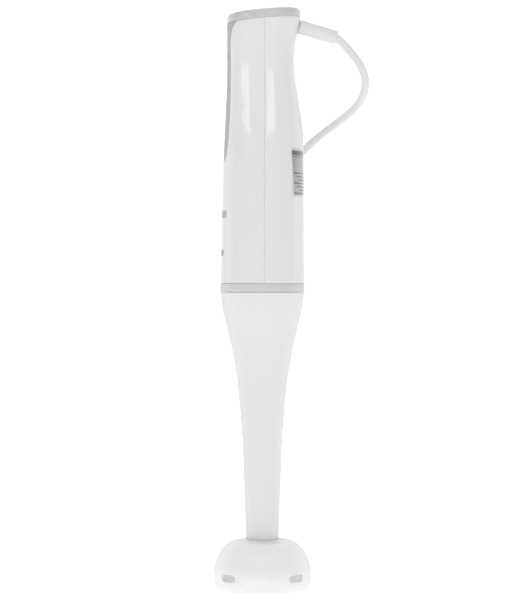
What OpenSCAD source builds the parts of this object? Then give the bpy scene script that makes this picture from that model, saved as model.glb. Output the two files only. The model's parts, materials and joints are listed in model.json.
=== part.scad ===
// Immersion blender: motor unit, twist-off blending wand, blade drive, mains cord and plug.
// Millimetres, +Z up. The origin is on the wand's axis, at the foot of the blade guard.
// The control strip faces -Y and the cord leaves towards +Y.

/* [Housing] */
// Height where the housing shells start, on top of the coupling ring
housing_base_z = 197.5; // [196:0.5:199]
// Height where the shells meet the cap, at the axis
housing_top_z = 367.8; // [364:0.2:370]
// How steeply the cap's plane rises towards the rear, as a slope
cap_slope = 0.0875; // [0:0.0125:0.1]
// Wall thickness of the housing shells
wall = 2.2; // [1.8:0.1:2.4]
// Distance of the parting line behind the axis
seam_y = 1.4; // [1:0.1:2]
// Height of the cap's band
cap_h = 6; // [5:0.5:7]

/* [Controls] */
// Centre height of the speed button
speed_z = 357.5; // [356.5:0.5:358]
// Overall height of the speed button
speed_h = 13; // [13:0.5:14]
// Centre height of the turbo button
turbo_z = 332; // [330:0.5:332.5]
// Overall height of the turbo button
turbo_h = 31; // [24:0.5:31]
// Width of both buttons
button_w = 13; // [10:0.5:13]
// How far a button travels when pressed
button_travel = 2; // [1:0.1:2]
// Gap around a button
button_gap = 0.35; // [0.3:0.05:0.5]
// How far a button stands proud of the strip
button_proud = 0.2; // [0.1:0.1:0.6]

/* [Coupling] */
// Height where the wand meets the coupling ring
wand_top_z = 191.9; // [190:0.1:192]
// Radius of the wand's neck inside the coupling ring
neck_r = 21.1; // [20:0.1:21.1]
// Clearance around the neck and its lugs
neck_gap = 0.3; // [0.25:0.05:0.4]
// Turn that unlocks the wand, in degrees
twist = 25; // [15:1:30]

/* [Wand and guard] */
// Wall thickness of the wand
wand_wall = 2.2; // [1.8:0.1:2.4]
// Wall thickness of the blade guard
guard_wall = 2.2; // [1.8:0.1:2.4]
// Height of the arches in the guard's rim
arch_h = 8.3; // [7:0.1:10]
// Half-width of the arches at the foot
arch_w = 15.8; // [13:0.1:16]
// Direction of the four windows from the arch, in degrees
window_angle = 44; // [40:1:50]

/* [Drive] */
// Radius of the motor shaft and the drive shaft
shaft_r = 2.5; // [2.5:0.1:2.5]
// Running clearance in the bushes
bush_gap = 0.05; // [0.02:0.01:0.08]
// Radius of the blade's tips
blade_r = 22; // [18:0.5:23]
// Radius of the armature
armature_r = 11; // [10:0.5:11]

/* [Cord] */
// Diameter of the mains cord
cord_d = 5.2; // [5:0.1:5.4]
// Radius of the coil at the middle of its turns
coil_r = 26; // [26:0.5:28]
// Distance of the coil's centre behind the guard
coil_x = -69.5; // [-70:0.5:-69]

/* [Hidden] */
$fn = 64;

// ---- Outlines, each a list of [height, value] stations joined by a smooth curve ----

// Distance of the housing's front line from the axis
front_line = [[197.5, 27.1], [225, 26.5], [260, 25.8], [290, 24.6], [315, 23.5], [340, 22.9], [368, 22.9]];
// Distance of the housing's rear line from the axis
rear_line = [[197.5, 27.4], [230, 27.2], [272, 27.0], [292, 26.6], [306, 25.5], [320, 23.4],
             [334, 21.2], [347, 20.9], [356, 22.3], [363, 24.3], [368, 25.1]];
// Half-width of the housing at its parting line
side_line = [[197.5, 27.3], [230, 26.8], [260, 25.2], [285, 22.6], [310, 19.9], [335, 18.3],
             [350, 18.2], [368, 18.9]];
// Squareness of the housing's section: 2 is an ellipse
square_line = [[197.5, 2.0], [260, 2.05], [330, 2.25], [368, 2.3]];
// Half-width of the control strip
strip_line = [[283, 9.6], [290, 10.3], [300, 10.4], [312, 10.1], [330, 9.4], [345, 9.0], [355, 9.2],
              [360.5, 10.1], [364, 11.4], [367.6, 13.9]];
strip_foot_z = 274.5;
strip_foot_end_z = 283;
strip_top_z = 367.6;
strip_t = 1.8;
// Outer radius of the wand
wand_line = [[32, 10.6], [62, 11.7], [93, 12.8], [117, 14.5], [135, 16.4], [152, 19.2], [168, 22.7],
             [181, 25.7], [191.9, 27.3]];

// Index of the stretch of table t that holds height z
function stretch(t, z, i = 0) = i >= len(t) - 2 || z < t[i + 1][0] ? i : stretch(t, z, i + 1);
// Slope of table t at station i
function slope(t, i) =
    let (a = max(i - 1, 0), b = min(i + 1, len(t) - 1)) (t[b][1] - t[a][1]) / (t[b][0] - t[a][0]);
// Value of table t at height z, on a smooth curve through its stations
function curve(t, z) =
    let (i = stretch(t, z), h = t[i + 1][0] - t[i][0], s = min(max((z - t[i][0]) / h, 0), 1))
    (2 * s * s * s - 3 * s * s + 1) * t[i][1] + (s * s * s - 2 * s * s + s) * h * slope(t, i)
    + (3 * s * s - 2 * s * s * s) * t[i + 1][1] + (s * s * s - s * s) * h * slope(t, i + 1);

// A power that keeps its sign
function spow(v, p) = sign(v) * pow(abs(v), p);
// Slope of the section's plane: level below, tilted like the cap at the top
function tilt(z) = cap_slope * min(max((z - 345) / 20, 0), 1);
// Point of the housing's section at angle a (0 is +X, 90 is the rear), inset from the surface
function section_point(z, a, inset) =
    let (w = curve(side_line, z) - inset,
         d = (sin(a) > 0 ? curve(rear_line, z) - seam_y : curve(front_line, z) + seam_y) - inset,
         p = 2 / curve(square_line, z), y = seam_y + d * spow(sin(a), p))
    [w * spow(cos(a), p), y, z + tilt(z) * y];
// Distance of the housing's surface from the parting plane at (x, z), for its front or rear line
function depth_at(line, offset, x, z) =
    let (n = curve(square_line, z), w = curve(side_line, z), d = curve(line, z) + offset)
    d * pow(1 - pow(min(abs(x) / w, 0.999), n), 1 / n);
function front_y(x, z) = seam_y - depth_at(front_line, seam_y, x, z);
function rear_y(x, z) = seam_y + depth_at(rear_line, -seam_y, x, z);

// ---- Shared shapes ----

// Closed skin over rings of the same number of points. A folded ring runs out along one side of a
// wall and back along the other, and its ends are closed across the wall.
module skin(rings, folded = false) {
    n = len(rings[0]);
    m = len(rings);
    last = (m - 1) * n;
    ends = folded
        ? [for (j = [0 : n / 2 - 2]) each [[j, j + 1, n - 2 - j], [j, n - 2 - j, n - 1 - j],
            [last + j + 1, last + j, last + n - 2 - j], [last + j, last + n - 1 - j, last + n - 2 - j]]]
        : [[for (j = [0 : n - 1]) j], [for (j = [n - 1 : -1 : 0]) last + j]];
    polyhedron(
        points = [for (r = rings) each r],
        faces = concat(ends, [for (i = [0 : m - 2], j = [0 : n - 1])
            let (a = i * n + j, b = i * n + (j + 1) % n) each [[a, a + n, b], [b, a + n, b + n]]])
    );
}

// Round tube of radius r swept along points, with flat ends
module tube(points, r, sides = 8) {
    m = len(points);
    function unit(v) = v / norm(v);
    function run(i) = unit(points[min(i + 1, m - 1)] - points[max(i - 1, 0)]);
    // The first side axis is level or upright, and each next one is the last one turned to fit
    function frames(i = 0, u = unit(cross(run(0), abs(run(0)[2]) > 0.9 ? [1, 0, 0] : [0, 0, 1]))) =
        i >= m ? [] : let (v = unit(u - (u * run(i)) * run(i))) concat([v], frames(i + 1, v));
    side = frames();
    skin([for (i = [0 : m - 1])
        [for (j = [0 : sides - 1])
            let (a = -360 * j / sides, v = side[i], w = cross(run(i), v))
            points[i] + r * (cos(a) * v + sin(a) * w)]]);
}

// Thin patch on the housing: rows of heights, half-width at each, from inset to proud of the surface
module patch(rear, heights, half_widths, below, above, columns = 12) {
    function at(x, z, t) = let (y = rear ? rear_y(x, z) + t : front_y(x, z) - t) [x, y, z + tilt(z) * y];
    function row(i, t) = [for (j = [0 : columns])
        at(half_widths[i] * (2 * j / columns - 1), heights[i], t)];
    function back(v) = [for (i = [len(v) - 1 : -1 : 0]) v[i]];
    skin([for (i = [0 : len(heights) - 1])
        rear ? concat(back(row(i, above)), row(i, below)) : concat(row(i, above), back(row(i, below)))],
        folded = true);
}

// Ring turned about Z, from inner radius to outer radius
module ring(z, h, inner, outer) {
    translate([0, 0, z]) rotate_extrude() translate([inner, 0]) square([outer - inner, h]);
}

// Outline with round corners, w wide and h tall about the origin
module round_box(w, h, r) {
    polygon([for (q = [0 : 3], a = [0 : 15 : 90])
        let (x = q == 0 || q == 3 ? 1 : -1, y = q < 2 ? 1 : -1)
        [x * (w / 2 - r) + r * cos(a + 90 * q), y * (h / 2 - r) + r * sin(a + 90 * q)]]);
}

// Outline with round ends, upright
module slot(w, h) {
    round_box(w, h, w / 2 - 0.01);
}

// Stand an outline drawn in X and height up in the X-Z plane, from y to y + t
module upright(y, t) {
    translate([0, y + t, 0]) rotate([90, 0, 0]) linear_extrude(t) children();
}

// Coil spring along Y from y to y + length
module spring(x, z, y, length, r, wire, turns) {
    steps = 12;
    tube([for (i = [0 : steps * turns])
        let (a = 360 * i / steps) [x + r * cos(a), y + length * i / (steps * turns), z + r * sin(a)]],
        wire / 2, 6);
}

// ---- Housing ----

arc_steps = 22;
shell_step = (housing_top_z - housing_base_z) / 19;
shell_levels = [for (z = [housing_base_z : shell_step : housing_top_z + 0.01]) z];

// Half of the housing from angle a to a + 180, as a wall with an inner face
module shell(a) {
    skin([for (z = shell_levels)
        concat([for (i = [0 : arc_steps]) section_point(z, a + 180 * i / arc_steps, 0)],
               [for (i = [arc_steps : -1 : 0]) section_point(z, a + 180 * i / arc_steps, wall)])],
        folded = true);
}

// Outline of the control strip as seen from the front, grown by g
module strip_outline(g) {
    heights = [for (z = [strip_foot_end_z : 4 : strip_top_z]) z];
    r = curve(strip_line, strip_foot_end_z) + g;
    right = concat([for (z = heights) [curve(strip_line, z), z]],
                   [[curve(strip_line, strip_top_z), strip_top_z]]);
    // The section's plane is tilted near the top, so the strip's upper end lies lower there
    edge = [for (p = right) [p[0] + g, p[1] + tilt(p[1]) * front_y(p[0], p[1])]];
    top = [for (s = [1, -1]) [s * (edge[len(edge) - 1][0]), strip_top_z + 8]];
    polygon(concat(
        [for (a = [180 : 15 : 345])
            [r * cos(a), strip_foot_end_z + (strip_foot_end_z - strip_foot_z + g) * sin(a)]],
        edge, top, [for (i = [len(edge) - 1 : -1 : 1]) [-edge[i][0], edge[i][1]]]));
}

module front_housing() {
    color([0.9, 0.9, 0.9]) difference() {
        shell(180);
        upright(-40, 30) strip_outline(0.15);
    }
}

relief_tilt = 16.5;
relief_end = [0, 48.6, 357.2];
relief_l = 25.2;

// Place children with their +Z along the strain relief, pointing out of the housing
module along_relief() {
    translate(relief_end) rotate([-90 - relief_tilt, 0, 0]) children();
}

module rear_housing() {
    color([0.9, 0.9, 0.9]) difference() {
        shell(0);
        along_relief() translate([0, 0, -40]) cylinder(h = 40, r = 3.7);
    }
}

module top_cap() {
    sides = 44;
    // Height above the shells and inset of each ring, from the inside of the crown round to the outside
    steps = [[4, 15], [4, 2.6], [0, 2.2], [0, 0.05], [cap_h - 2, 0], [cap_h - 0.8, 0.5], [cap_h, 1.8],
             [cap_h + 0.3, 8], [cap_h + 0.3, 15]];
    color([0.75, 0.75, 0.76]) skin([for (s = steps)
        [for (j = [0 : sides - 1])
            section_point(housing_top_z, -360 * j / sides, s[1]) + [0, 0, s[0]]]]);
}

module control_strip() {
    foot = [for (a = [80 : -20 : 0]) [strip_foot_end_z - (strip_foot_end_z - strip_foot_z) * sin(a),
                                     curve(strip_line, strip_foot_end_z) * cos(a)]];
    body = [for (z = [strip_foot_end_z + 4 : 4 : strip_top_z]) [z, curve(strip_line, z)]];
    rows = concat(foot, body, [[strip_top_z, curve(strip_line, strip_top_z)]]);
    color([0.62, 0.62, 0.64]) difference() {
        patch(false, [for (r = rows) r[0]], [for (r = rows) r[1]], -strip_t, 0);
        upright(-40, 40) translate([0, speed_z]) slot(button_w + 2 * button_gap, speed_h + 2 * button_gap);
        upright(-40, 40) translate([0, turbo_z]) slot(button_w + 2 * button_gap, turbo_h + 2 * button_gap);
    }
}

module rating_label() {
    rows = [for (i = [0 : 4]) 253 + 31.5 * i / 4];
    color([0.6, 0.6, 0.6]) patch(true, rows, [for (i = [0 : 4]) 18.7 - 0.4 * i], 0.1, 0.3, 20);
}

module front_marks() {
    color([0.6, 0.6, 0.62]) {
        patch(false, [239.9, 244.7], [12.7, 12.7], 0.08, 0.25, 14);
        patch(false, [215.3, 219.7], [9.6, 9.6], 0.08, 0.25, 12);
    }
}

// ---- Coupling between motor unit and wand ----

ring_r = 27.5;
sleeve_r = 24.6;
bore_r = neck_r + neck_gap;
groove = [199.9, 204.1];
sleeve_top_z = 209;

module coupling_ring() {
    color([0.76, 0.76, 0.77]) difference() {
        rotate_extrude() polygon([
            [bore_r, wand_top_z + 0.15], [ring_r, wand_top_z + 0.15], [ring_r, housing_base_z],
            [sleeve_r, housing_base_z], [sleeve_r, sleeve_top_z], [9.5, sleeve_top_z],
            [9.5, sleeve_top_z - 2], [bore_r, sleeve_top_z - 2]
        ]);
        // Three lug channels: a groove that the lug turns into, and an entry from below at its far end
        for (i = [0 : 2]) rotate([0, 0, 120 * i]) {
            rotate([0, 0, -13]) rotate_extrude(angle = twist + 26)
                translate([18, groove[0]]) square([5.3, groove[1] - groove[0]]);
            rotate([0, 0, twist - 12.5]) rotate_extrude(angle = 25)
                translate([18, wand_top_z - 1]) square([5.3, groove[0] - wand_top_z + 1.5]);
        }
    }
}

// ---- Motor ----

stack = [234, 256];
bolt_y = 18.5;

module stator_core() {
    color([0.35, 0.35, 0.38]) translate([0, 0, stack[0]]) linear_extrude(stack[1] - stack[0]) difference() {
        intersection() {
            circle(21);
            square([35, 42], center = true);
        }
        circle(armature_r + 0.5);
        for (x = [-9.5, 9.5], y = [-13.8, 13.8]) translate([x, y]) square([4.4, 4.4], center = true);
        for (y = [-bolt_y, bolt_y]) translate([0, y]) circle(1.8);
    }
}

module field_coils() {
    color([0.72, 0.42, 0.2]) for (y = [-15.8, 11.8]) upright(y, 4) translate([0, 245]) difference() {
        round_box(23, 32, 2);
        square([15, 24], center = true);
    }
}

// Bearing bracket: an oval plate with flat ends, a bush seat and two pillars that reach the stator
module bracket(z, t, half_w, oval_w, seat_z, seat_h, pillar_z, pillar_h) {
    difference() {
        union() {
            translate([0, 0, z]) linear_extrude(t) intersection() {
                scale([oval_w / 22, 1]) circle(22);
                square([2 * half_w, 50], center = true);
            }
            translate([0, 0, seat_z]) cylinder(h = seat_h, r = 7.5);
            for (y = [-bolt_y, bolt_y]) translate([0, y, pillar_z]) cylinder(h = pillar_h, r = 2.6);
        }
        translate([0, 0, seat_z - 1]) cylinder(h = seat_h + 2, r = 5);
        for (y = [-bolt_y, bolt_y]) translate([0, y, stack[0] - 20]) cylinder(h = 70, r = 1.8);
        for (x = [-13, 13]) translate([x, 0, z - 1]) cylinder(h = t + 2, r = 3.5);
    }
}

module lower_bracket() {
    color([0.2, 0.2, 0.22]) bracket(222.8, 2.6, 20, 22.3, 221.8, 4.8, 225.4, 8.6);
}

module upper_bracket() {
    color([0.2, 0.2, 0.22]) {
        bracket(278, 2.8, 18.8, 19.6, 277.8, 6.2, 256, 22);
        for (s = [-1, 1]) translate([s * 17.5, 0, 275.7]) cube([2.2, 6, 5], center = true);
    }
}

module motor_bushes() {
    color([0.7, 0.55, 0.3]) {
        ring(221.8, 4.8, shaft_r + bush_gap, 5);
        ring(277.8, 6.2, shaft_r + bush_gap, 5);
    }
}

module motor_bolts() {
    color([0.7, 0.7, 0.72]) for (y = [-bolt_y, bolt_y]) translate([0, y, 0]) {
        translate([0, 0, 221]) cylinder(h = 60.8, r = 1.6);
        translate([0, 0, 280.8]) cylinder(h = 2, r = 2.8);
    }
}

module motor_mounts() {
    color([0.15, 0.15, 0.15]) {
        for (s = [-1, 1]) {
            translate([s * 21.3, 0, 224.1]) cube([2.6, 12, 4], center = true);
            translate([s * 19.35, 0, 279.4]) cube([1.1, 7, 4], center = true);
        }
    }
}

module brush_holders() {
    color([0.8, 0.65, 0.3]) for (s = [-1, 1]) difference() {
        translate([s * 13, 0, 270]) cube([12, 7.4, 6.4], center = true);
        translate([s * 13, 0, 270]) cube([14, 6, 5], center = true);
    }
}

module carbon_brushes() {
    color([0.15, 0.15, 0.16]) for (s = [-1, 1])
        translate([s * 9.8, 0, 270]) cube([8, 5.8, 4.8], center = true);
}

module brush_springs() {
    color([0.75, 0.75, 0.77]) for (s = [-1, 1], i = [0 : 3])
        translate([s * (14.4 + 1.2 * i), 0, 270]) rotate([0, 90, 0])
            rotate_extrude($fn = 32) translate([1.7, 0]) circle(0.3, $fn = 16);
}

module motor_shaft() {
    color([0.75, 0.75, 0.77]) translate([0, 0, 203.5]) cylinder(h = 84.5, r = shaft_r);
}

module armature_core() {
    slots = 10;
    color([0.4, 0.4, 0.42]) translate([0, 0, stack[0]]) linear_extrude(stack[1] - stack[0]) difference() {
        circle(armature_r);
        circle(shaft_r);
        for (i = [0 : slots - 1]) rotate(360 * i / slots) {
            translate([armature_r - 3.6, 0]) circle(1.4);
            translate([armature_r - 1.6, 0]) square([4, 1.2], center = true);
        }
    }
}

module armature_windings() {
    color([0.72, 0.4, 0.2]) for (z = [227.4, 256.2]) translate([0, 0, z]) rotate_extrude() {
        translate([6, 3.2]) circle(3.2);
        translate([3.2, 0.6]) square([3, 5.2]);
        translate([6, 0]) square([1.4, 6.4]);
        translate([7.2, 3.2]) circle(3.2);
    }
}

module commutator() {
    bars = 20;
    color([0.75, 0.45, 0.25]) translate([0, 0, 265]) linear_extrude(10.5) difference() {
        circle(5.5);
        circle(shaft_r);
        for (i = [0 : bars - 1])
            rotate(360 * i / bars) translate([5.4, 0]) square([0.8, 0.3], center = true);
    }
}

module cooling_fan() {
    blades = 11;
    color([0.25, 0.25, 0.27]) {
        ring(213.4, 1.2, shaft_r, 17.5);
        ring(213.4, 7, shaft_r, 5.5);
        for (i = [0 : blades - 1]) rotate([0, 0, 360 * i / blades]) translate([11.2, 1.5, 217.5])
            rotate([0, 0, 20]) cube([12, 1.1, 6], center = true);
    }
}

module drive_coupler() {
    color([0.3, 0.3, 0.32]) {
        ring(203, 9.4, shaft_r, 8);
        for (a = [0, 180]) rotate([0, 0, a - 15]) rotate_extrude(angle = 30)
            translate([5.2, 197.5]) square([2.6, 5.8]);
    }
}

// ---- Switches and leads ----

board_y = -8;

module switch_board() {
    color([0.2, 0.45, 0.3]) translate([-9, board_y, 312]) cube([18, 1.6, 51]);
}

module micro_switches() {
    color([0.2, 0.2, 0.22]) for (z = [speed_z + 2, turbo_z + 3]) {
        translate([-6.4, board_y - 5.5, z - 3.2]) cube([12.8, 5.5, 6.4]);
        translate([0, board_y - 5.4, z]) rotate([90, 0, 0]) cylinder(h = 1.7, r = 1.2);
    }
}

module suppression_capacitor() {
    color([0.8, 0.65, 0.2]) {
        translate([-6.5, 6, 294]) cube([13, 6, 12]);
        for (x = [-5, 5]) translate([x, 9, 289]) cylinder(h = 5.2, r = 0.4, $fn = 16);
    }
}

module cord_clamp() {
    color([0.85, 0.85, 0.85]) difference() {
        translate([-9, 7, 354]) cube([18, 6, 5]);
        for (x = [-6, 6]) translate([x, 10, 350]) cylinder(h = 20, r = 1.3);
    }
}

module clamp_screws() {
    color([0.7, 0.7, 0.72]) for (x = [-6, 6]) {
        translate([x, 10, 351]) cylinder(h = 8.2, r = 1.2);
        translate([x, 10, 359.2]) cylinder(h = 1.6, r = 2.4);
    }
}

module internal_leads() {
    color([0.5, 0.35, 0.2]) for (x = [-2, 2]) {
        tube([[x, 16.4, 366.5], [x, 13, 365.6], [x, 8, 363.2], [x, 3.5, 359], [x, 0, 353], [x, -2.5, 346],
              [x, -3.8, 338], [x, -4.4, 330], [x, -5.2, 325.5]], 1.1);
        tube([[2.6 * x, -5.2, 320], [2.8 * x, -3, 316], [3.4 * x, -1, 310], [4 * x, 0.5, 300],
              [4.6 * x, 1.2, 290], [5.4 * x, 1.6, 283], [6.3 * x, 1.6, 277.5], [6.3 * x, 1.4, 274.4]], 1);
    }
}

module strain_relief() {
    color([0.88, 0.88, 0.88]) along_relief() rotate_extrude() polygon([
        [0, -33], [3.6, -33], [3.6, -relief_l - 0.6], [4.8, -relief_l], [4.65, -18], [4.5, -6],
        [4.55, -1.6], [4.2, -0.5], [3.4, 0], [0, 0]]);
}

// ---- Buttons: a cap that stands proud of the strip, a retaining flange and a stem ----

flange_y = -18.4;

module button(z, h) {
    face_y = front_y(0, z) - button_proud;
    upright(face_y, flange_y - face_y) translate([0, z]) slot(button_w, h);
    upright(flange_y, 1.2) translate([0, z]) slot(button_w + 2.4, h + 2.4);
}

module speed_button() {
    color([0.7, 0.7, 0.72]) button(speed_z, speed_h);
}

module turbo_button() {
    color([0.7, 0.7, 0.72]) button(turbo_z, turbo_h);
}

spring_wire = 0.5;
spring_y = flange_y + 1.2 + spring_wire / 2 + 0.05;
spring_l = board_y - spring_wire / 2 - 0.05 - spring_y;

module speed_spring() {
    color([0.75, 0.75, 0.77]) spring(0, speed_z - 4, spring_y, spring_l, 1.6, spring_wire, 4);
}

module turbo_spring() {
    color([0.75, 0.75, 0.77]) spring(0, turbo_z - 8, spring_y, spring_l, 1.6, spring_wire, 4);
}

// ---- Wand ----

web_z = [187.5, 205.5];
spigot_r = 7.8;

module wand_tube() {
    outer = [for (z = [32 : 5.33 : 191.9]) [curve(wand_line, z), z]];
    inner = [for (z = [32 : 5.33 : 187.5]) [max(curve(wand_line, z) - wand_wall, spigot_r), z]];
    color([0.93, 0.93, 0.93]) {
        rotate_extrude() polygon(concat(
            outer, [[27.3, wand_top_z], [neck_r, wand_top_z], [neck_r, web_z[1]],
                    [neck_r - wand_wall, web_z[1]],
                    [neck_r - wand_wall, web_z[0]], [curve(wand_line, web_z[0]) - wand_wall, web_z[0]]],
            [for (i = [len(inner) - 1 : -1 : 0]) inner[i]]));
        for (i = [0 : 2]) rotate([0, 0, 120 * i - 10]) rotate_extrude(angle = 20)
            translate([neck_r - 0.5, groove[0] + 0.3]) square([2.4, groove[1] - groove[0] - 0.6]);
    }
}

// Half of the guard's profile from its widest line up to its crown, outside and inside
guard_wide_z = 10;
guard_top_z = 31.2;
guard_shoulder = [[31.8, guard_wide_z], [31.65, 11.8], [31.25, 14], [30.7, 16], [30, 18], [29.2, 20],
                  [28.2, 22],
                  [26.9, 24.3], [25.3, 26.4], [23.5, 28.1], [21.1, 29.6], [18.3, 30.7], [15, guard_top_z]];
guard_vault = [for (a = [0 : 7.5 : 90])
    [15 + (16.7 - guard_wall) * cos(a), guard_wide_z + (guard_top_z - guard_wide_z - guard_wall) * sin(a)]];

module blade_guard() {
    color([0.92, 0.92, 0.92]) difference() {
        union() {
            rotate_extrude($fn = 96) polygon(concat(
                [[29.2, 0], [29.9, 0.7], [30.9, 3.4], [31.5, 6.6]], guard_shoulder,
                [[12.8, guard_top_z + 0.1], [11.3, guard_top_z + 0.4], [10.6, 32], [5, 32],
                 [5, guard_top_z - guard_wall]],
                [for (i = [len(guard_vault) - 1 : -1 : 0]) guard_vault[i]],
                [[29.3, 6.6], [28.7, 3.4], [27.2, 0]]));
            ring(16, 14, 5, 8.4);
            ring(32, 8, 5, spigot_r);
        }
        // Two arches in the rim, opposite each other
        rotate([90, 0, 90]) translate([0, 0, -40]) linear_extrude(80)
            polygon(concat([[arch_w, -1], [-arch_w, -1]],
                [for (i = [-8 : 8]) [arch_w * i / 8, arch_h * cos(90 * i / 8)]]));
        // Four windows between the arches, above the rim
        for (a = [-1, 1], b = [0, 180]) rotate([0, 0, b + a * window_angle]) translate([24, 0, 9.2])
            rotate([90, 0, 90]) linear_extrude(12) round_box(12.2, 4.8, 2);
    }
}

module bush_carrier() {
    color([0.85, 0.85, 0.85]) difference() {
        union() {
            translate([0, 0, 184.4]) cylinder(h = 3, r = 23);
            translate([0, 0, 179]) cylinder(h = 12.5, r = 7.5);
        }
        translate([0, 0, 178]) cylinder(h = 20, r = 5);
    }
}

module wand_bushes() {
    color([0.7, 0.55, 0.3]) {
        ring(180, 11, shaft_r + bush_gap, 5);
        ring(22, 14, shaft_r + bush_gap, 5);
    }
}

module shaft_seal() {
    color([0.2, 0.2, 0.2]) ring(17, 4.6, shaft_r + bush_gap, 5);
}

// ---- Blade drive ----

module drive_shaft() {
    color([0.75, 0.75, 0.77]) translate([0, 0, 7]) cylinder(h = 195, r = shaft_r);
}

module driven_coupler() {
    color([0.3, 0.3, 0.32]) {
        ring(192.6, 4.4, shaft_r, 8);
        ring(197, 5.4, shaft_r, 4.6);
        for (a = [90, 270]) rotate([0, 0, a - 18]) rotate_extrude(angle = 36)
            translate([4.2, 196.8]) square([3.8, 5.6]);
    }
}

module blade_hub() {
    color([0.85, 0.85, 0.85]) ring(11.7, 3.9, shaft_r, 5.5);
}

module blade() {
    // One wing: a swept edge that narrows to the tip
    wing = [[3, -4.4], [10, -4.6], [blade_r - 3, -2.6], [blade_r - 0.6, 0.4], [blade_r - 1.4, 2.6],
            [blade_r - 6, 3.4], [10, 3.4], [3, 4.4]];
    color([0.78, 0.78, 0.8]) difference() {
        union() {
            translate([0, 0, 9.4]) cylinder(h = 1.6, r = 6);
            for (a = [0, 180])
                rotate([0, 0, a + 35]) translate([0, 0, 10.2]) rotate([a == 0 ? 9 : -7, 0, 0])
                translate([0, 0, -0.7]) linear_extrude(1.4) polygon(wing);
        }
        translate([0, 0, 0]) cylinder(h = 30, r = shaft_r);
    }
}

module blade_nut() {
    color([0.78, 0.78, 0.8]) difference() {
        translate([0, 0, 6.4]) cylinder(h = 2.4, r = 4, $fn = 6);
        cylinder(h = 30, r = shaft_r);
    }
}

// ---- Cord and plug ----

// From the strain relief: outwards, round behind the housing, down its far side and onto the floor
cord_route = [
    [0, 46.8, 358.3], [0, 48.9, 356.8], [0, 51.9, 354.2], [0, 55.1, 350.8], [0, 58.4, 346.9],
    [0, 61.5, 342.9],
    [-0.3, 64.2, 338.8], [-1.5, 66.3, 334], [-4, 67.4, 328.7], [-8, 66.8, 323], [-13, 64.4, 317.6],
    [-18.7, 60.2, 312.6], [-24.2, 54.4, 308], [-29, 47.2, 303], [-32.8, 39, 297], [-35.2, 30.4, 289.6],
    [-36.2, 22, 280.6], [-35.9, 14.6, 270], [-34.6, 8.8, 258], [-32.9, 5, 244], [-31.4, 2.8, 228],
    [-30.6, 1.4, 211], [-30.5, 0.4, 194], [-30.8, -0.6, 170], [-31.4, -1.6, 140], [-32.2, -2.8, 110],
    [-33.3, -4.4, 80], [-34.6, -6.3, 52], [-35.3, -7.6, 37], [-35.7, -8, 27], [-35.7, -6.8, 18.4],
    [-35.6, -2.6, 10.8], [-35.8, 4, 5.6], [-36.8, 10.8, 3.1], [-38.8, 16, 2.6], [-41.8, 20.4, 2.6],
    [-45.6, 24, 2.6], [-49.8, 26.6, 2.6], [-54.2, 28.3, 2.6]
];
// From the coil's last turn to the plug
tail_route = [[-94.3, 14.3, 7.8], [-96.5, 10.5, 7.8], [-99.8, 6.1, 7.7], [-104.2, 2.8, 7.6],
              [-109.3, 0.7, 7.5], [-114.7, 0, 7.5]];
coil_top_z = 2 * cord_d;
plug_x = -115.5;

module cord_tube() {
    color([0.92, 0.92, 0.92]) tube(cord_route, cord_d / 2);
}

module cord_coil() {
    color([0.92, 0.92, 0.92]) translate([coil_x, 0, 0])
        ring(0, coil_top_z, coil_r - cord_d, coil_r + cord_d);
}

module cord_tail() {
    color([0.92, 0.92, 0.92]) tube(tail_route, cord_d / 2);
}

plug_w = 21;
plug_h = 15;
plug_l = 25;
plug_blade_l = 16;

module plug_body() {
    color([0.9, 0.9, 0.9]) {
        translate([plug_x - plug_l, 0, plug_h / 2]) rotate([90, 0, 90]) linear_extrude(plug_l)
            round_box(plug_w, plug_h, 4);
        translate([plug_x, 0, plug_h / 2]) rotate([0, 90, 0]) cylinder(h = 4, r = 4.4);
    }
}

module plug_blades() {
    color([0.8, 0.75, 0.5]) for (y = [-6.35, 6.35])
        translate([plug_x - plug_l - plug_blade_l, y - 0.75, plug_h / 2 - 3.2])
            cube([plug_blade_l, 1.5, 6.4]);
}

front_housing();
rear_housing();
top_cap();
control_strip();
coupling_ring();
rating_label();
front_marks();
stator_core();
field_coils();
lower_bracket();
upper_bracket();
motor_bushes();
motor_bolts();
motor_mounts();
brush_holders();
carbon_brushes();
brush_springs();
switch_board();
micro_switches();
suppression_capacitor();
cord_clamp();
clamp_screws();
internal_leads();
strain_relief();
speed_button();
speed_spring();
turbo_button();
turbo_spring();
motor_shaft();
armature_core();
armature_windings();
commutator();
cooling_fan();
drive_coupler();
wand_tube();
blade_guard();
bush_carrier();
wand_bushes();
shaft_seal();
drive_shaft();
driven_coupler();
blade_hub();
blade();
blade_nut();
cord_tube();
cord_coil();
cord_tail();
plug_body();
plug_blades();
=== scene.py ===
"""Looks of an immersion blender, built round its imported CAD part. Lengths are in metres."""

import json
import math

import bmesh
import bpy
import numpy as np
from mathutils import Matrix, Vector

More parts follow.
